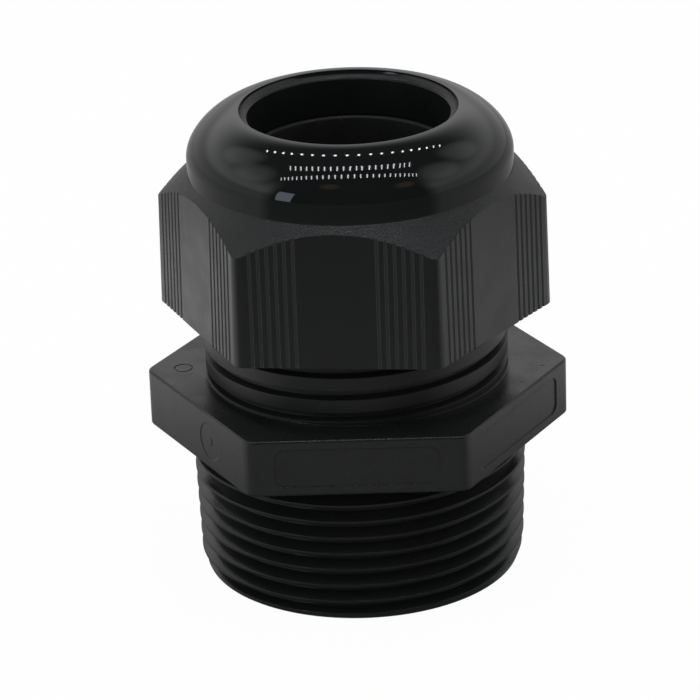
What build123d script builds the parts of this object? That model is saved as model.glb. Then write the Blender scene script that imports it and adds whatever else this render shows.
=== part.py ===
from build123d import *
from math import atan, cos, degrees, radians, sin, tan
import os

# Cable gland with a 1 1/4 inch taper pipe thread, in millimetres.
# +Z runs up the bore, z = 0 is the end face of the pipe thread, and -Y is the middle of a flange face.
# The dome nut stands as it is left before a cable is clamped, and both threads are right-handed.

# Pipe thread: 1 1/4 inch, 11.5 turns per inch, 1 in 16 on the diameter
pipe_major_diameter = 42.16
pipe_pitch = 25.4 / 11.5
pipe_taper = 1 / 16
pipe_length = 18.4
pipe_crest_flat = 0.32
pipe_root_flat = 0.16
pipe_flank_angle = 30
pipe_end_height = 1.7
pipe_end_chamfer = 0.65
pipe_relief_height = 0.9
pipe_relief_depth = 0.15
pipe_groove_start = 0.64
pipe_groove_angle = 135

# Hexagon flange and the marks that moulding leaves on it
flange_across_flats = 46
flange_height = 7.35
flange_corner_radius = 1.95
flange_edge_fillet = 0.3
plate_width = 20
plate_height = 4.9
plate_corner_radius = 1.2
plate_sink = 0.15
gate_mark_diameter = 4.8
gate_mark_offset = 3.4
gate_nub_diameter = 1.1
gate_mark_sink = 0.06
ejector_mark_diameter = 2.45
ejector_mark_radius = 21.9
ejector_ring_width = 0.16
ejector_mark_sink = 0.1

# Neck of the body, and the thread that it shares with the dome nut
neck_height = 14.25
neck_beyond_fingers = 1.4
neck_pitch = 2.9
neck_thread_depth = 0.95
neck_groove_mouth = 1.15
neck_groove_root = 0.6
neck_collar_height = 0.25
neck_groove_angle = 20.6
thread_flank_gap = 0.15
thread_crest_gap = 0.15
thread_root_gap = 0.2

# Bores of the body, from the cable's entry up to the rim
entry_bore_diameter = 30
seat_bore_allowance = 1.5
seat_height = 2
seat_below_rim = 5.1
seal_clearance = 0.2

# Dome nut, which reaches down past the rim and up past the fingers
nut_wall = 0.95
nut_corner_radius = 1.65
nut_draft_angle = 1.1
nut_angle = -5.1
nut_below_rim = 5.65
nut_above_fingers = 5.12
nut_thread_length = 9
nut_mouth_height = 0.6
thread_ring_wall = 0.9
nut_relief_height = 1.5
nut_relief_step = 0.1
shoulder_height = 17.15
shoulder_angle = 45
dome_inset = 0.85
dome_wall_height = 2
dome_fullness = 0.46
lip_bore_allowance = 0.8
lip_fillet = 0.95
lip_length = 5.6
cone_seal_clearance = 0.1
cone_half_angle = 21.8
rib_count = 6
rib_pitch = 1.06
rib_first = 5
rib_groove_mouth = 0.46
rib_groove_root = 0.06
rib_groove_depth = 0.17

# Sealing insert
seal_bore_diameter = 24.3
seal_wall = 2.45
seal_length = 14.2
seal_edge_radius = 0.45
seal_lip_gap = 0.15

# Clamping fingers, drawn upright and then leaned in on their hinges
finger_count = 18
finger_length = 9.4
finger_seal_clearance = 1.3
finger_root_thickness = 1.7
finger_tip_thickness = 1.3
finger_tip_chamfer = 0.5
finger_slit = 1.6
finger_lean = 8
hinge_inset = 1
hinge_web_thickness = 1
hinge_web_height = 1.6
knuckle_radius = 0.8
knuckle_clearance = 0.08
knuckle_end_gap = 0.25

# Radii that follow from the sizes above, outwards from the cable
seal_outer_radius = seal_bore_diameter / 2 + seal_wall
lip_radius = (seal_bore_diameter + lip_bore_allowance) / 2
seat_radius = (seal_bore_diameter + seat_bore_allowance) / 2
cone_top_radius = seal_outer_radius + cone_seal_clearance
finger_outer_radius = seal_outer_radius + finger_seal_clearance + finger_root_thickness
hinge_circle_radius = finger_outer_radius - hinge_inset
neck_radius = finger_outer_radius + neck_beyond_fingers
neck_root_radius = neck_radius - neck_thread_depth
thread_ring_radius = neck_radius + thread_crest_gap + thread_ring_wall
nut_flat_radius = thread_ring_radius + nut_wall
dome_radius = nut_flat_radius - dome_inset
finger_step = 360 / finger_count

# Heights that follow from the sizes above
flange_top = pipe_length + flange_height
rim_top = flange_top + neck_height
seat_top = rim_top - seat_below_rim
nut_bottom = rim_top - nut_below_rim
lip_bottom = rim_top + finger_length + nut_above_fingers
nut_top = lip_bottom + lip_length
shoulder_edge = nut_bottom + shoulder_height
neck_collar_top = flange_top + neck_collar_height
neck_groove_start = neck_collar_top - neck_groove_mouth
seal_top = lip_bottom - seal_lip_gap

# Lengths that cutters and blanks run past the faces that they end at
above = 1
over = 3
spare = 20


def turned(*points):
    """Ring or disc with the given outline in radius and height."""
    return revolve(Plane.XZ * make_face(Polyline(*points, close=True)), Axis.Z)


def upright(diameter, low, high):
    """Cylinder on the Z axis from one height to another."""
    return Pos(0, 0, (low + high) / 2) * Cylinder(diameter / 2, high - low)


def hexagon(across_flats, corner_radius):
    """Hexagon outline with one flat towards -Y and rounded corners."""
    outline = RegularPolygon(across_flats / 2, 6, major_radius=False)
    return fillet(outline.vertices(), corner_radius)


def thread_groove(mouth_radius, root_radius, mouth, root, pitch, low, high, angle, taper_angle=0):
    """Right-hand helical cutter from its mouth to its root, run on a little past the mouth."""
    flank = 0.1
    beyond = 0.5
    side = 1 if mouth_radius > root_radius else -1
    wide = mouth / 2 + flank * (mouth - root) / 2 / abs(mouth_radius - root_radius)
    section = Plane.XZ * make_face(Polyline(
        (mouth_radius + side * beyond, low - wide), (mouth_radius + side * beyond, low + wide),
        (mouth_radius + side * flank, low + wide), (root_radius, low + root / 2),
        (root_radius, low - root / 2), (mouth_radius + side * flank, low - wide), close=True))
    path = Helix(pitch, high - low, mouth_radius, center=(0, 0, low), cone_angle=taper_angle)
    return Rot(0, 0, angle) * sweep(section, path=path, is_frenet=True)


def trimmed(threaded, low, high):
    """Threaded blank with everything below and above its real ends cut away."""
    wide = 4 * pipe_major_diameter
    return threaded - upright(wide, low - spare, low) - upright(wide, high, high + spare)


def pipe_section():
    """Taper thread with a smooth chamfered end and a relief under the flange."""
    crest = pipe_major_diameter / 2
    fall = pipe_taper / 2
    mouth = pipe_pitch - pipe_crest_flat
    depth = (mouth - pipe_root_flat) / 2 / tan(radians(pipe_flank_angle))
    relief = crest - depth - pipe_relief_depth
    relief_foot = pipe_length - pipe_relief_height
    blank = turned(
        (0, -over), (crest - fall * (pipe_length + over), -over),
        (crest - fall * pipe_relief_height, relief_foot),
        (relief, relief_foot + pipe_relief_height / 2), (relief, pipe_length + over), (0, pipe_length + over))
    start_crest = crest - fall * (pipe_length - pipe_groove_start)
    groove = thread_groove(
        start_crest, start_crest - depth, mouth, pipe_root_flat, pipe_pitch,
        pipe_groove_start, pipe_length - pipe_relief_height / 3, pipe_groove_angle, degrees(atan(fall)))
    end_crest = crest - fall * (pipe_length - pipe_end_height)
    slope = pipe_end_chamfer / pipe_end_height
    chamfer = turned(
        (end_crest - pipe_end_chamfer - slope * above, -above), (crest + above, -above),
        (crest + above, pipe_end_height), (end_crest, pipe_end_height))
    return trimmed(blank - groove, 0, pipe_length + above) - chamfer


def flange_plate(face):
    """Shallow bare panel on one flange face, counted from the front."""
    outline = RectangleRounded(plate_width, plate_height, plate_corner_radius)
    wall = Plane(
        origin=(0, -flange_across_flats / 2, pipe_length + flange_height / 2),
        x_dir=(1, 0, 0), z_dir=(0, -1, 0))
    return Rot(0, 0, 60 * face) * extrude(wall * outline, -plate_sink)


def gate_mark():
    """Round dish with a small nub in it, on the face left of the front."""
    wall = Plane(
        origin=(gate_mark_offset, -flange_across_flats / 2, pipe_length + flange_height / 2),
        x_dir=(1, 0, 0), z_dir=(0, -1, 0))
    dish = Circle(gate_mark_diameter / 2) - Circle(gate_nub_diameter / 2)
    return Rot(0, 0, -60) * extrude(wall * dish, -gate_mark_sink)


def ejector_ring():
    """Thin round line that an ejector pin leaves on the flange's top, at its left corner."""
    ring = Circle(ejector_mark_diameter / 2) - Circle(ejector_mark_diameter / 2 - ejector_ring_width)
    return extrude(Pos(-ejector_mark_radius, 0, flange_top) * ring, -ejector_mark_sink)


def flange_section():
    """Hexagon flange with its plates and moulding marks."""
    outline = hexagon(flange_across_flats, flange_corner_radius)
    block = extrude(Pos(0, 0, pipe_length) * outline, flange_height)
    rims = block.edges().group_by(Axis.Z)
    block = fillet(rims[0] + rims[-1], flange_edge_fillet)
    for face in (0, 1, 2, 3, 4):
        block -= flange_plate(face)
    return block - gate_mark() - ejector_ring()


def neck_section():
    """Neck with the nut's male thread, whose groove opens out from a low collar on the flange."""
    blank = upright(2 * neck_radius, neck_groove_start - over, rim_top + over)
    groove = thread_groove(
        neck_radius, neck_root_radius, neck_groove_mouth, neck_groove_root, neck_pitch,
        neck_groove_start, rim_top + over / 2, neck_groove_angle)
    threaded = trimmed(blank - groove, neck_collar_top, rim_top)
    return upright(2 * neck_radius, flange_top - above, neck_collar_top) + threaded


def body_bores():
    """Cable entry, seat ring and the bore that the sealing insert slides in."""
    entry = entry_bore_diameter / 2
    seat = seat_radius
    seal = seal_outer_radius + seal_clearance
    seat_bottom = seat_top - seat_height
    return turned(
        (0, -above), (entry, -above), (entry, seat_bottom - (entry - seat)), (seat, seat_bottom),
        (seat, seat_top), (seal, seat_top), (seal, rim_top + above), (0, rim_top + above))


def finger_width():
    """Width of a finger where its hinge line runs."""
    half_step = radians(finger_step / 2)
    return 2 * (hinge_circle_radius * tan(half_step) - finger_slit / 2 / cos(half_step))


def knuckle(radius, length):
    """Round bar along the hinge line of the finger at angle 0."""
    return Pos(hinge_circle_radius, 0, rim_top) * Rot(90, 0, 0) * Cylinder(radius, length)


def gland_body():
    """Body in one piece, with a round channel for each finger's hinge."""
    body = pipe_section() + flange_section() + neck_section() - body_bores()
    channel = knuckle(knuckle_radius + knuckle_clearance, finger_width() + 2 * knuckle_end_gap)
    for finger in range(finger_count):
        body -= Rot(0, 0, finger * finger_step) * channel
    return body


def clamping_finger(index):
    """One finger of the clamping basket, with the round knuckle that it bends on."""
    foot = rim_top + hinge_web_height
    tip = rim_top + finger_length
    outer = finger_outer_radius
    blade = turned(
        (outer - finger_root_thickness, foot), (outer, foot), (outer, tip - 2 * finger_tip_chamfer),
        (outer - finger_tip_chamfer, tip), (outer - finger_tip_thickness, tip))
    web = Pos(hinge_circle_radius, 0, rim_top + hinge_web_height / 2) * Box(
        hinge_web_thickness, finger_width(), hinge_web_height + knuckle_radius / 2)
    bar = knuckle(knuckle_radius, finger_width())
    half_step = radians(finger_step / 2)
    reach = outer + above
    half_reach = reach * tan(half_step) - finger_slit / 2 / cos(half_step)
    wedge = extrude(
        Pos(0, 0, rim_top - above) * make_face(Polyline(
            (finger_slit / 2 / sin(half_step), 0), (reach, -half_reach), (reach, half_reach), close=True)),
        finger_length + 2 * above)
    upright_finger = (blade & wedge) + ((web + bar) & wedge)
    hinge = Pos(hinge_circle_radius, 0, rim_top)
    leaned = hinge * Rot(0, -finger_lean, 0) * hinge.inverse() * upright_finger
    return Rot(0, 0, index * finger_step) * leaned


def sealing_insert():
    """Rubber sleeve that hangs under the nut's lip, with a rounded mouth."""
    sleeve = upright(2 * seal_outer_radius, seal_top - seal_length, seal_top)
    sleeve -= upright(seal_bore_diameter, seal_top - seal_length - above, seal_top + above)
    mouth = sleeve.edges().filter_by(GeomType.CIRCLE).filter_by(
        lambda edge: abs(edge.radius - seal_bore_diameter / 2) < 0.01)
    return fillet(mouth, seal_edge_radius)


def rib_comb():
    """Cutter for one face's grip grooves, with its teeth at the middle of the face's foot."""
    half = rib_groove_mouth / 2
    slope = (half - rib_groove_root / 2) / rib_groove_depth
    skin = 0.3
    back = 1.5
    firsts = [rib_first + rib * rib_pitch for rib in range(rib_count)]
    outline = []
    for middle in [-first for first in reversed(firsts)] + firsts:
        outline += [
            (middle - half - slope * skin, -skin), (middle - rib_groove_root / 2, rib_groove_depth),
            (middle + rib_groove_root / 2, rib_groove_depth), (middle + half + slope * skin, -skin)]
    outline += [(outline[-1][0], -back), (outline[0][0], -back)]
    teeth = make_face(Polyline(*outline, close=True))
    return Pos(0, 0, -above) * extrude(teeth, shoulder_height + 3 * above)


def bottom_flat_radius():
    """Half the nut's width across flats at its drafted bottom."""
    return nut_flat_radius + shoulder_height * tan(radians(nut_draft_angle))


def nut_hexagon():
    """Grooved hexagon, drafted, with its top cut back to the conical shoulder."""
    outline = hexagon(2 * bottom_flat_radius(), nut_corner_radius)
    block = extrude(Pos(0, 0, nut_bottom) * outline, shoulder_height + above, taper=nut_draft_angle)
    on_face = Pos(0, -bottom_flat_radius(), nut_bottom) * Rot(-nut_draft_angle, 0, 0)
    for face in range(6):
        block -= Rot(0, 0, 60 * face) * on_face * rib_comb()
    fall = tan(radians(shoulder_angle))
    inside = dome_radius - above
    outside = 2 * nut_flat_radius
    envelope = turned(
        (0, nut_bottom - above), (outside, nut_bottom - above),
        (outside, shoulder_edge - fall * (outside - nut_flat_radius)),
        (inside, shoulder_edge + fall * (nut_flat_radius - inside)),
        (0, shoulder_edge + fall * (nut_flat_radius - inside)))
    return block & envelope


def nut_dome():
    """Solid dome that rises from the shoulder, with a rounded lip."""
    radius = dome_radius
    lip = lip_radius
    wall_foot = shoulder_edge - above
    wall_top = shoulder_edge + dome_inset * tan(radians(shoulder_angle)) + dome_wall_height
    crown_radius = lip + lip_fillet
    side_pull = (radius, wall_top + dome_fullness * (nut_top - wall_top))
    crown_pull = (crown_radius + dome_fullness * (radius - crown_radius), nut_top)
    outline = Curve() + [
        Line((0, wall_foot), (radius, wall_foot)),
        Line((radius, wall_foot), (radius, wall_top)),
        Bezier((radius, wall_top), side_pull, crown_pull, (crown_radius, nut_top)),
        RadiusArc((crown_radius, nut_top), (lip, nut_top - lip_fillet), lip_fillet),
        Line((lip, nut_top - lip_fillet), (0, nut_top - lip_fillet)),
        Line((0, nut_top - lip_fillet), (0, wall_foot))]
    return revolve(Plane.XZ * make_face(outline), Axis.Z)


def nut_void():
    """Everything inside the nut: space for the thread ring, relief, clamping cone and lip bore."""
    thread_foot = nut_bottom + nut_mouth_height
    thread_end = thread_foot + nut_thread_length
    relief = neck_radius + thread_crest_gap + nut_relief_step
    relief_end = thread_end + nut_relief_height
    cone_foot = cone_top_radius + (lip_bottom - relief_end) * tan(radians(cone_half_angle))
    return turned(
        (0, nut_bottom - above), (relief, nut_bottom - above), (relief, thread_foot),
        (thread_ring_radius, thread_foot), (thread_ring_radius, thread_end),
        (relief, thread_end), (relief, relief_end), (cone_foot, relief_end), (cone_top_radius, lip_bottom),
        (lip_radius, lip_bottom), (lip_radius, nut_top + above), (0, nut_top + above))


def nut_thread_ring():
    """The part of the nut's wall that carries its thread, in step with the ridges on the neck."""
    crest = neck_radius
    bore = neck_root_radius + thread_root_gap
    major = crest + thread_crest_gap
    slope = (neck_groove_mouth - neck_groove_root) / neck_thread_depth
    at_crest = neck_pitch - neck_groove_mouth + 2 * thread_flank_gap
    mouth = at_crest + slope * (crest - bore)
    root = at_crest - slope * (major - crest)
    thread_foot = nut_bottom + nut_mouth_height
    thread_end = thread_foot + nut_thread_length
    blank = upright(2 * thread_ring_radius, thread_foot - over, thread_end + over)
    blank -= upright(2 * bore, thread_foot - 2 * over, thread_end + 2 * over)
    ridge_start = neck_groove_start + neck_pitch / 2
    groove_start = thread_foot - over / 2
    turns_up = (groove_start - ridge_start) / neck_pitch
    groove = thread_groove(
        bore, major, mouth, root, neck_pitch, groove_start, thread_end + over / 2,
        neck_groove_angle + 360 * turns_up)
    return trimmed(blank - groove, thread_foot, thread_end)


def dome_nut():
    """Dome nut in one piece."""
    shell = Rot(0, 0, nut_angle) * nut_hexagon() + nut_dome()
    return shell - nut_void() + nut_thread_ring()


os.makedirs("parts", exist_ok=True)
pieces = {"gland_body": gland_body(), "sealing_insert": sealing_insert(), "dome_nut": dome_nut()}
for number in range(finger_count):
    pieces[f"clamping_finger_{number + 1:02d}"] = clamping_finger(number)
for name, piece in pieces.items():
    export_step(piece, f"parts/{name}.step")
print(len(pieces), "pieces, height", round(nut_top, 2))
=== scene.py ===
import math
import bmesh
import bpy
from mathutils import Matrix, Vector


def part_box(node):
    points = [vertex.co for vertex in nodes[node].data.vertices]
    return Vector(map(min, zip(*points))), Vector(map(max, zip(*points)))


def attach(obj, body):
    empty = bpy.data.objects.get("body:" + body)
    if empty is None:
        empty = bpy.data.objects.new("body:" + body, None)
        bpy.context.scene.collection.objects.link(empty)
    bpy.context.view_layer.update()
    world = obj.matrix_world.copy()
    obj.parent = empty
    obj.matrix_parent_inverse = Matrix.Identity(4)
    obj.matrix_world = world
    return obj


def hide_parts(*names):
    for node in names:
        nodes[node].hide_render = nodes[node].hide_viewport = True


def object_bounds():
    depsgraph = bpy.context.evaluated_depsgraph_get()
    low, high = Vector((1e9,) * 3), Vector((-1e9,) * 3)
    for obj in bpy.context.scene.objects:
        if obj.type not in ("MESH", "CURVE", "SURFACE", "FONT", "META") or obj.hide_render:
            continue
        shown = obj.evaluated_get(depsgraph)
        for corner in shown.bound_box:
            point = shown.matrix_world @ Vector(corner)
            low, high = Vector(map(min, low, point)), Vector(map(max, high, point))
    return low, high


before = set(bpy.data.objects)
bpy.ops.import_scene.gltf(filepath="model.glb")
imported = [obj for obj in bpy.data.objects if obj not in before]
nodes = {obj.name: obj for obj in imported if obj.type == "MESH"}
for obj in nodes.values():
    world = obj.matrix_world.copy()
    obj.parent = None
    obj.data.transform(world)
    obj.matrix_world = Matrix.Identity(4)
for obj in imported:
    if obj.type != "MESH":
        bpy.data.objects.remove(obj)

cadBox = [list(corner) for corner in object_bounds()]
print("frame loaded:", len(nodes), "CAD nodes")


# small helpers for node trees
def freshTree(material):
    material.use_nodes = True
    tree = material.node_tree
    tree.nodes.clear()
    return tree


def addNode(tree, kind, **settings):
    node = tree.nodes.new(kind)
    for name, value in settings.items():
        setattr(node, name, value)
    return node


def join(tree, source, target):
    tree.links.new(source, target)


def setOrJoin(tree, value, socket):
    if isinstance(value, (int, float, tuple)):
        socket.default_value = value
    else:
        join(tree, value, socket)


def maths(tree, operation, first, second=None):
    node = addNode(tree, "ShaderNodeMath", operation=operation)
    for socket, value in zip(node.inputs, (first, second)):
        if value is not None:
            setOrJoin(tree, value, socket)
    return node.outputs[0]


def vectorMaths(tree, operation, first, second):
    node = addNode(tree, "ShaderNodeVectorMath", operation=operation)
    for socket, value in zip(node.inputs, (first, second)):
        setOrJoin(tree, value, socket)
    return node


def lengthOf(tree, vector):
    node = addNode(tree, "ShaderNodeVectorMath", operation="LENGTH")
    join(tree, vector, node.inputs[0])
    return node.outputs["Value"]


def scaled(tree, colour, share):
    node = addNode(tree, "ShaderNodeVectorMath", operation="SCALE")
    node.inputs[0].default_value = colour
    join(tree, share, node.inputs["Scale"])
    return node.outputs[0]


def axesOf(tree, vector):
    node = addNode(tree, "ShaderNodeSeparateXYZ")
    join(tree, vector, node.inputs[0])
    return node.outputs


def ramped(tree, value, low, high, toLow=0.0, toHigh=1.0):
    node = addNode(tree, "ShaderNodeMapRange", interpolation_type="SMOOTHSTEP")
    join(tree, value, node.inputs["Value"])
    for name, number in (("From Min", low), ("From Max", high), ("To Min", toLow), ("To Max", toHigh)):
        node.inputs[name].default_value = number
    return node.outputs["Result"]


def noise(tree, vector, scale, detail):
    node = addNode(tree, "ShaderNodeTexNoise")
    join(tree, vector, node.inputs["Vector"])
    node.inputs["Scale"].default_value = scale
    node.inputs["Detail"].default_value = detail
    node.inputs["Roughness"].default_value = 0.5
    return node.outputs["Fac"]


def blended(tree, share, first, second):
    node = addNode(tree, "ShaderNodeMix", data_type="FLOAT")
    for name, value in (("Factor", share), ("A", first), ("B", second)):
        setOrJoin(tree, value, node.inputs[name])
    return node.outputs["Result"]


def tinted(tree, share, first, second):
    # a mix of two colours
    node = addNode(tree, "ShaderNodeMix", data_type="RGBA")
    join(tree, share, node.inputs["Factor"])
    node.inputs[6].default_value = first
    node.inputs[7].default_value = second
    return node.outputs[2]


def mixedVector(tree, share, first, second):
    node = addNode(tree, "ShaderNodeMix", data_type="VECTOR")
    join(tree, share, node.inputs["Factor"])
    setOrJoin(tree, first, node.inputs[4])
    setOrJoin(tree, second, node.inputs[5])
    return node.outputs[1]


def mixedShader(tree, share, first, second):
    node = addNode(tree, "ShaderNodeMixShader")
    setOrJoin(tree, share, node.inputs["Fac"])
    join(tree, first, node.inputs[1])
    join(tree, second, node.inputs[2])
    return node.outputs[0]


def coat(tree, shader):
    join(tree, shader, addNode(tree, "ShaderNodeOutputMaterial").inputs["Surface"])


def linked(name, data):
    thing = bpy.data.objects.new(name, data)
    bpy.context.scene.collection.objects.link(thing)
    return thing


def meshOf(name, bm):
    mesh = bpy.data.meshes.new(name)
    bm.to_mesh(mesh)
    bm.free()
    return mesh


# the studio is a white tent with an open, dark front and lamp strips overhead
tent = {
    "wall": 0.86,           # walls, as glossy surfaces see them
    "wallFoot": (0.2, 0.36),    # the walls are dimmer below this height
    "footLevels": (0.56, 0.68),  # so much dimmer on the left and on the right
    "floor": 1.17,
    # painted shadow: the floor's light, as glossy surfaces see it, is dimmer close round the object, in front and
    # behind too
    "floorShade": (0.035, 0.12, 0.16),    # and the floor is dimmer close round the object
    "floorReach": (0.133, 0.143, 0.34),   # and further out
    "rightShare": 0.79,     # the right side is a little dimmer
    "rightReach": (0.1, 0.7),    # between these sines
    "sides": (-0.3, 0.3),   # where the left foot of the walls passes into the right one, as a sine
    "dark": 0.03,           # the open side
    "frontFloor": 0.33,     # table in front of the open side
    "frontShade": (0.03, 0.07, 0.3),
    "frontReach": (0.122, 0.16, 0.3),
    "backFloor": (0.72, 0.8),   # behind the object, from here round as a sine, the floor is dimmer
    "backShade": (0.12, 0.14, 0.3),
    "opening": (-0.62, -0.42),   # how far round the open side reaches, as a sine
    "ceiling": (0.38, 0.78),     # height at which the walls give way to the dark ceiling
    "ceilingLevel": 0.06,
    "plainLevel": 0.75,     # light that matt surfaces get from all round
}

glows = [   # soft patches on the tent: heading from the front, height, reach in degrees, light
    {"heading": -122, "height": 43, "reach": (0, 15), "light": (0.46, 0.48, 0.48)},
    {"heading": -90, "height": 42, "reach": (0, 17), "light": (0.46, 0.48, 0.48)},
    {"heading": 120, "height": 42, "reach": (0, 15), "light": (0.38, 0.4, 0.4)},
    {"heading": 82, "height": 42, "reach": (0, 17), "light": (0.44, 0.46, 0.46)},
    {"heading": -18, "height": 50, "reach": (2, 7), "light": (0.3, 0.22, 0.13)},
    {"heading": 45, "height": 40, "reach": (2, 8), "light": (0.3, 0.22, 0.13)},
]


def heading(tree, vector):
    # X and Y of the level direction: Y is -1 towards the open side and 1 towards the back wall
    flat = vectorMaths(tree, "MULTIPLY", vector, (1, 1, 0)).outputs[0]
    unit = addNode(tree, "ShaderNodeVectorMath", operation="NORMALIZE")
    join(tree, flat, unit.inputs[0])
    axes = axesOf(tree, unit.outputs[0])
    return axes["X"], axes["Y"]


def roundLevel(tree, vector, front, back):
    # light of the tent in a level direction, from the open front round to the back
    x, y = heading(tree, vector)
    level = blended(tree, ramped(tree, y, *tent["opening"]), front, back)
    return maths(tree, "MULTIPLY", level, ramped(tree, x, *tent["rightReach"], 1.0, tent["rightShare"]))


def buildWorld():
    world = bpy.data.worlds.new("tent")
    bpy.context.scene.world = world
    tree = freshTree(world)
    where = addNode(tree, "ShaderNodeTexCoord").outputs["Generated"]
    rise = axesOf(tree, where)["Z"]
    side = ramped(tree, heading(tree, where)[0], *tent["sides"], *tent["footLevels"])
    foot = blended(tree, ramped(tree, rise, *tent["wallFoot"]), side, 1.0)
    below = ramped(tree, rise, *tent["ceiling"], 1.0, tent["ceilingLevel"])
    wall = maths(tree, "MULTIPLY", maths(tree, "MULTIPLY", foot, below), tent["wall"])
    seen = scaled(tree, (1, 1, 1), roundLevel(tree, where, tent["dark"], wall))
    for glow in glows:
        turn, height = math.radians(glow["heading"]), math.radians(glow["height"])
        aim = (math.sin(turn) * math.cos(height), -math.cos(turn) * math.cos(height), math.sin(height))
        near = vectorMaths(tree, "DOT_PRODUCT", where, aim).outputs["Value"]
        inner, outer = (math.cos(math.radians(angle)) for angle in glow["reach"])
        spot = scaled(tree, glow["light"], ramped(tree, near, outer, inner))
        seen = vectorMaths(tree, "ADD", seen, spot).outputs[0]
    path = addNode(tree, "ShaderNodeLightPath").outputs
    light = mixedVector(tree, path["Is Glossy Ray"], (tent["plainLevel"],) * 3, seen)
    # the backdrop is plain white to the camera
    shown = maths(tree, "MAXIMUM", path["Is Camera Ray"], path["Is Transmission Ray"])
    background = addNode(tree, "ShaderNodeBackground")
    join(tree, mixedVector(tree, shown, light, (1, 1, 1)), background.inputs["Color"])
    join(tree, background.outputs[0], addNode(tree, "ShaderNodeOutputWorld").inputs["Surface"])


table = {"size": 3.0, "drop": 0.0001, "colour": (0.8, 0.8, 0.8, 1), "whiteShare": 0.97}


def floorLevel(tree, far, share, shade, reach):
    # light of the table by distance from the object: dim close to it as a painted shadow of the object, full, then
    # dim far out
    near, out, dim = shade
    level = maths(tree, "MULTIPLY", ramped(tree, far, near, out, dim, 1.0), share)
    near, out, dim = reach
    return maths(tree, "MULTIPLY", level, ramped(tree, far, near, out, 1.0, dim))


def buildFloor():
    bm = bmesh.new()
    bmesh.ops.create_grid(bm, x_segments=2, y_segments=2, size=table["size"])
    mesh = meshOf("floor", bm)
    floor = linked("floor", mesh)
    floor.location.z = cadBox[0][2] - table["drop"]
    material = bpy.data.materials.new("tentFloor")
    tree = freshTree(material)
    where = addNode(tree, "ShaderNodeTexCoord").outputs["Object"]
    far = lengthOf(tree, where)
    front = floorLevel(tree, far, tent["frontFloor"], tent["frontShade"], tent["frontReach"])
    rest = floorLevel(tree, far, tent["floor"], tent["floorShade"], tent["floorReach"])
    behind = ramped(tree, heading(tree, where)[1], *tent["backFloor"])
    # painted shadow: behind the object the floor is dimmer close to it
    near, out, dim = tent["backShade"]
    shade = blended(tree, behind, 1.0, ramped(tree, far, near, out, dim, 1.0))
    glossy = addNode(tree, "ShaderNodeEmission")
    join(tree, maths(tree, "MULTIPLY", roundLevel(tree, where, front, rest), shade), glossy.inputs["Strength"])
    plain = addNode(tree, "ShaderNodeBsdfDiffuse")
    plain.inputs["Color"].default_value = table["colour"]
    white = addNode(tree, "ShaderNodeEmission")
    pale = mixedShader(tree, table["whiteShare"], plain.outputs[0], white.outputs[0])
    path = addNode(tree, "ShaderNodeLightPath").outputs
    shown = mixedShader(tree, path["Is Camera Ray"], plain.outputs[0], pale)
    coat(tree, mixedShader(tree, path["Is Glossy Ray"], shown, glossy.outputs[0]))
    mesh.materials.append(material)


# overhead rows of lamps: the middle lamp, reach to each side, bow, one lamp's width and length
stripRows = [
    {"middle": (0.017, 0.172), "reach": 0.247, "pitch": 0.0262, "bow": 0.078,
     "lamp": (0.0052, 0.034), "strength": 24.0},
    {"middle": (0.0, -0.058), "reach": 0.214, "pitch": 0.0215, "bow": 0.036,
     "lamp": (0.0042, 0.062), "strength": 17.0},
    {"middle": (-0.008, -0.176), "reach": 0.332, "pitch": 0.0265, "bow": 0.004,
     "lamp": (0.0048, 0.06), "strength": 17.0},
]
stripLight = (0.93, 0.97, 1.0, 1)
stripHeight = 0.5
lampTurn = 100      # degrees a lamp turns towards the middle of its row, for each metre it stands from it
windowPane = {      # its heading and height are seen from a point "base" above the origin
    "heading": -45.7, "height": 14.5, "away": 0.6, "base": 0.05, "width": 0.117, "tall": 0.26,
    "light": (1.7, 1.9, 2.15, 1),
}
cameraPlace = {"eye": (0.00776, -0.4457, 0.22086), "aim": (-0.00084, -0.00001, 0.02759),
               "roll": -0.03527, "sensor": 36.0, "lens": 198.8}


def emitter(name, light, strength):
    material = bpy.data.materials.new(name)
    tree = freshTree(material)
    glow = addNode(tree, "ShaderNodeEmission")
    glow.inputs["Color"].default_value = light
    glow.inputs["Strength"].default_value = strength
    coat(tree, glow.outputs[0])
    return material


def addPanel(bm, place, width, length):
    shape = place @ Matrix.Diagonal((width, length, 1, 1))
    bmesh.ops.create_grid(bm, x_segments=1, y_segments=1, size=0.5, matrix=shape)


def stagedLight(name, bm, material):
    mesh = meshOf(name, bm)
    mesh.materials.append(material)
    light = linked(name, mesh)
    light.visible_camera = False
    light.visible_shadow = False


def buildStrips():
    for number, row in enumerate(stripRows, 1):
        bm = bmesh.new()
        side = round(row["reach"] / row["pitch"])
        for lamp in range(-side, side + 1):
            x = row["middle"][0] + lamp * row["pitch"]
            y = row["middle"][1] + row["bow"] * (lamp / side) ** 2
            turned = Matrix.Rotation(math.radians(lampTurn * x), 4, "Z")
            addPanel(bm, Matrix.Translation((x, y, stripHeight)) @ turned, *row["lamp"])
        stagedLight("lampRow%d" % number, bm, emitter("lampGlow%d" % number, stripLight, row["strength"]))


def buildPane():
    turned = Matrix.Rotation(math.radians(windowPane["heading"]), 4, "Z")
    raised = Matrix.Rotation(-math.radians(windowPane["height"]), 4, "X")
    upright = Matrix.Rotation(math.radians(90), 4, "X")
    place = Matrix.Translation((0, 0, windowPane["base"])) @ turned @ raised
    bm = bmesh.new()
    addPanel(bm, place @ Matrix.Translation((0, -windowPane["away"], 0)) @ upright,
             windowPane["width"], windowPane["tall"])
    stagedLight("windowPane", bm, emitter("windowGlow", windowPane["light"], 1.0))


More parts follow.
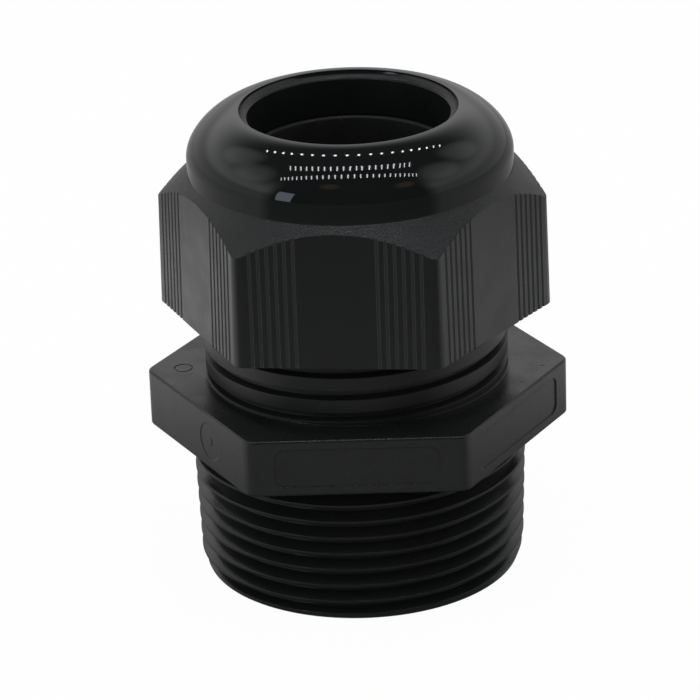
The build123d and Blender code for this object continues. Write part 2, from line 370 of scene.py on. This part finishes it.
def buildCamera():
    eye, aim, roll = Vector(cameraPlace["eye"]), Vector(cameraPlace["aim"]), cameraPlace["roll"]
    forward = (aim - eye).normalized()
    right = forward.cross(Vector((0, 0, 1))).normalized()
    up = right.cross(forward)
    level = Matrix((right * math.cos(roll) + up * math.sin(roll),
                    up * math.cos(roll) - right * math.sin(roll), -forward))
    data = bpy.data.cameras.new("camera")
    data.sensor_width = cameraPlace["sensor"]
    data.lens = cameraPlace["lens"]
    camera = linked("camera", data)
    camera.matrix_world = Matrix.Translation(eye) @ level.transposed().to_4x4()
    bpy.context.scene.camera = camera


bpy.context.scene.view_settings.view_transform = "Standard"
buildWorld()
buildFloor()
buildStrips()
buildPane()
buildCamera()
print("studio ready")


bodyPlastic = {
    "colour": (0.0075, 0.008, 0.008, 1), "roughness": 0.27, "threadRoughness": 0.12, "neckRoughness": 0.42,
    "flange": (0.0184, 0.02595),    # heights between which the body is satin, over the smooth thread
    "fade": 0.0001, "mottle": 0.05, "mottleScale": 260.0,
    "grain": 0.00005, "grainScale": 5200.0, "grainStrength": 0.5,
    "dustAndGlint": (0.05, 0.05, 0.047, 1), "dustAndGlintSize": 0.00008, "edge": 0.00018,
    "pits": ((0.0232, -0.0024, 0.0004), (0.0204, -0.0073, 0.00035), (0.024, -0.0012, 0.0003)),
    "pitDepth": 3.0, "pitBottom": 0.3,      # dents: X, Y and reach, their depth in grains, flat share of the reach
}
nutPlastic = {
    "colour": (0.0055, 0.006, 0.006, 1), "satin": 0.34, "mottle": 0.03, "mottleScale": 300.0,
    "polish": 0.03, "edge": 0.00005, "grain": 0.00012, "grainScale": 4600.0,
    "sparkle": (0.2, 0.7),  # strength of the grain on the upright flats and on the shoulder
    "upward": (0.3, 0.5),   # how far a face looks up where the one passes into the other
    "lip": (0.0130, 0.0136), "lipRoughness": 0.7,    # the polish fades out over the lip
    "turn": -5.1, "grooves": (0.005, 0.00106, 0.00023, 0.0103),     # first, pitch, half a width, last
    # the lighter groove colour is a painted highlight, standing in for light caught by the groove flanks
    "grooveHighlightColour": (0.024, 0.025, 0.025, 1), "grooveHighlightFade": (0.7, 1.1),     # shares of half a width
    "flatRadius": 0.0206,     # the grooves lie outside this radius
    "cone": 0.0725,         # height and radius add up to this on the shoulder, and to more on the dome
    "coneEdge": (0.00006, 0.00016),
}
rubber = {
    "colour": (0.006, 0.006, 0.006, 1), "roughness": 0.55, "mottle": 0.08, "mottleScale": 400.0,
    # the rubber's pale specks are painted glints, not dust
    "dustAndGlint": (0.1, 0.1, 0.09, 1), "dustAndGlintSize": 0.0001,
}
# the speck pattern is real dust on the body and painted glints on the rubber
dustAndGlintCells = 900.0       # cells of the dust pattern to the metre
dustAndGlintPick = (0.6, 1.0)   # share of the cells without a speck, and with a full one
mottleSpread = (0.3, 0.7)   # noise levels that pass from the smoothest to the roughest


def softEdge(tree, radius):
    # rounds the sharp moulded edges, so that they catch the light
    node = addNode(tree, "ShaderNodeBevel", samples=6)
    node.inputs["Radius"].default_value = radius
    return node.outputs["Normal"]


def mottled(tree, where, roughness, finish):
    cloudy = noise(tree, where, finish["mottleScale"], 3.0)
    return ramped(tree, cloudy, *mottleSpread, roughness - finish["mottle"], roughness + finish["mottle"])


def dustAndGlintSpecks(tree, where, size):
    # a few small pale specks, one in some of the cells: real dust on the body, painted glints on the rubber
    cells = addNode(tree, "ShaderNodeTexVoronoi")
    join(tree, where, cells.inputs["Vector"])
    cells.inputs["Scale"].default_value = dustAndGlintCells
    reach = size * dustAndGlintCells
    speck = ramped(tree, cells.outputs["Distance"], reach * 0.5, reach, 1.0, 0.0)
    pick = addNode(tree, "ShaderNodeSeparateColor")
    join(tree, cells.outputs["Color"], pick.inputs[0])
    return maths(tree, "MULTIPLY", speck, ramped(tree, pick.outputs[0], *dustAndGlintPick))


def grained(tree, height, depth, strength, edge):
    bump = addNode(tree, "ShaderNodeBump")
    bump.inputs["Distance"].default_value = depth
    setOrJoin(tree, strength, bump.inputs["Strength"])
    join(tree, height, bump.inputs["Height"])
    join(tree, softEdge(tree, edge), bump.inputs["Normal"])
    return bump.outputs[0]


def newFinish(name):
    material = bpy.data.materials.new(name)
    tree = freshTree(material)
    where = addNode(tree, "ShaderNodeTexCoord").outputs["Object"]
    return material, tree, where, addNode(tree, "ShaderNodeBsdfPrincipled")


def bodyPolyamide():
    material, tree, where, shader = newFinish("bodyPolyamide")
    rise = axesOf(tree, where)["Z"]
    low, high = bodyPlastic["flange"]
    flange = ramped(tree, rise, low - bodyPlastic["fade"], low)
    neck = ramped(tree, rise, high, high + bodyPlastic["fade"])
    satin = mottled(tree, where, bodyPlastic["roughness"], bodyPlastic)
    lower = blended(tree, flange, bodyPlastic["threadRoughness"], satin)
    join(tree, blended(tree, neck, lower, bodyPlastic["neckRoughness"]), shader.inputs["Roughness"])
    specks = dustAndGlintSpecks(tree, where, bodyPlastic["dustAndGlintSize"])
    colour = tinted(tree, specks, bodyPlastic["colour"], bodyPlastic["dustAndGlint"])
    join(tree, colour, shader.inputs["Base Color"])
    height = noise(tree, where, bodyPlastic["grainScale"], 2.0)
    for x, y, reach in bodyPlastic["pits"]:
        away = vectorMaths(tree, "DISTANCE", where, (x, y, high)).outputs["Value"]
        dent = ramped(tree, away, reach * bodyPlastic["pitBottom"], reach, bodyPlastic["pitDepth"], 0.0)
        height = maths(tree, "SUBTRACT", height, dent)
    normal = grained(tree, height, bodyPlastic["grain"], bodyPlastic["grainStrength"], bodyPlastic["edge"])
    join(tree, normal, shader.inputs["Normal"])
    coat(tree, shader.outputs[0])
    return material


def paintedGrooveHighlight(tree, axes, radius, upward):
    # painted highlight: the fine grip grooves are painted a little lighter than the flats between them, standing
    # in for the light their flanks catch
    first, pitch, half, last = nutPlastic["grooves"]
    angle = maths(tree, "ARCTAN2", axes["Y"], axes["X"])
    angle = maths(tree, "ADD", angle, math.radians(90 - nutPlastic["turn"]) + 2 * math.pi)
    aside = maths(tree, "MULTIPLY", maths(tree, "SINE", maths(tree, "PINGPONG", angle, math.pi / 6)), radius)
    past = maths(tree, "PINGPONG", maths(tree, "SUBTRACT", aside, first), pitch / 2)
    inner, outer = (half * share for share in nutPlastic["grooveHighlightFade"])
    grooveShine = ramped(tree, past, inner, outer, 1.0, 0.0)
    inside = maths(tree, "GREATER_THAN", aside, first - pitch / 2)
    inside = maths(tree, "MULTIPLY", inside, maths(tree, "LESS_THAN", aside, last + pitch / 2))
    onFlat = maths(tree, "GREATER_THAN", radius, nutPlastic["flatRadius"])
    onFlat = maths(tree, "MULTIPLY", onFlat, maths(tree, "SUBTRACT", 1.0, upward))
    return maths(tree, "MULTIPLY", grooveShine, maths(tree, "MULTIPLY", inside, onFlat))


def nutPolyamide():
    material, tree, where, shader = newFinish("nutPolyamide")
    axes = axesOf(tree, where)
    radius = lengthOf(tree, vectorMaths(tree, "MULTIPLY", where, (1, 1, 0)).outputs[0])
    overCone = maths(tree, "ADD", axes["Z"], radius)
    near, out = (nutPlastic["cone"] + past for past in nutPlastic["coneEdge"])
    polished = ramped(tree, overCone, near, out)
    facing = axesOf(tree, addNode(tree, "ShaderNodeTexCoord").outputs["Normal"])
    upward = ramped(tree, facing["Z"], *nutPlastic["upward"])
    grooveHighlight = paintedGrooveHighlight(tree, axes, radius, upward)
    # painted highlight along the grip grooves, mixed into the base colour
    colour = tinted(tree, grooveHighlight, nutPlastic["colour"], nutPlastic["grooveHighlightColour"])
    join(tree, colour, shader.inputs["Base Color"])
    crown = ramped(tree, radius, *nutPlastic["lip"], nutPlastic["lipRoughness"], nutPlastic["polish"])
    flats = mottled(tree, where, nutPlastic["satin"], nutPlastic)
    join(tree, blended(tree, polished, flats, crown), shader.inputs["Roughness"])
    grain = noise(tree, where, nutPlastic["grainScale"], 2.0)
    strength = blended(tree, polished, blended(tree, upward, *nutPlastic["sparkle"]), 0.0)
    normal = grained(tree, grain, nutPlastic["grain"], strength, nutPlastic["edge"])
    join(tree, normal, shader.inputs["Normal"])
    coat(tree, shader.outputs[0])
    return material


def sealRubber():
    material, tree, where, shader = newFinish("sealRubber")
    # painted glints: pale specks mixed into the rubber's colour
    specks = dustAndGlintSpecks(tree, where, rubber["dustAndGlintSize"])
    join(tree, tinted(tree, specks, rubber["colour"], rubber["dustAndGlint"]), shader.inputs["Base Color"])
    join(tree, mottled(tree, where, rubber["roughness"], rubber), shader.inputs["Roughness"])
    coat(tree, shader.outputs[0])
    return material


finishes = {"body": bodyPolyamide(), "nut": nutPolyamide(), "seal": sealRubber()}
for name, node in nodes.items():
    kind = {"dome_nut": "nut", "sealing_insert": "seal"}.get(name, "body")
    node.data.materials.clear()
    node.data.materials.append(finishes[kind])
print("finishes on", len(nodes), "nodes")


sleeve = {"wall": 0.00245, "taperFoot": 0.0059, "topInset": 0.0014, "rounding": 0.0004, "steps": 128,
          "mergeDistance": 1e-6, "rimAngle": 30, "rimSegments": 4}


def buildSleeve():
    # rubber sleeve, with its outside drawn in at the top where the fingers close on it
    low, high = (Vector(corner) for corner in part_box("sealing_insert"))
    outer, foot, top = high.x, low.z, high.z
    bore = outer - sleeve["wall"]
    drawnIn = ((outer, top - sleeve["taperFoot"]), (outer - sleeve["topInset"], top))
    outline = ((bore, foot), (outer, foot), *drawnIn, (bore, top))
    bm = bmesh.new()
    corners = [bm.verts.new((radius, 0, height)) for radius, height in outline]
    for first, second in zip(corners, corners[1:] + corners[:1]):
        bm.edges.new((first, second))
    bmesh.ops.spin(bm, geom=bm.verts[:] + bm.edges[:], cent=(0, 0, 0), axis=(0, 0, 1), angle=2 * math.pi,
                   steps=sleeve["steps"], use_merge=True)
    bmesh.ops.remove_doubles(bm, verts=bm.verts[:], dist=sleeve["mergeDistance"])
    bmesh.ops.recalc_face_normals(bm, faces=bm.faces[:])
    rims = [edge for edge in bm.edges if edge.calc_face_angle(0) > math.radians(sleeve["rimAngle"])]
    bmesh.ops.bevel(bm, geom=rims, offset=sleeve["rounding"], offset_type="OFFSET", profile=0.5,
                    segments=sleeve["rimSegments"], affect="EDGES", material=-1, clamp_overlap=True)
    for face in bm.faces:
        face.smooth = True
    mesh = meshOf("sealSleeve", bm)
    mesh.materials.append(finishes["seal"])
    piece = linked("sealSleeve", mesh)
    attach(piece, "seal")
    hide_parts("sealing_insert")


buildSleeve()
print("sleeve modelled")
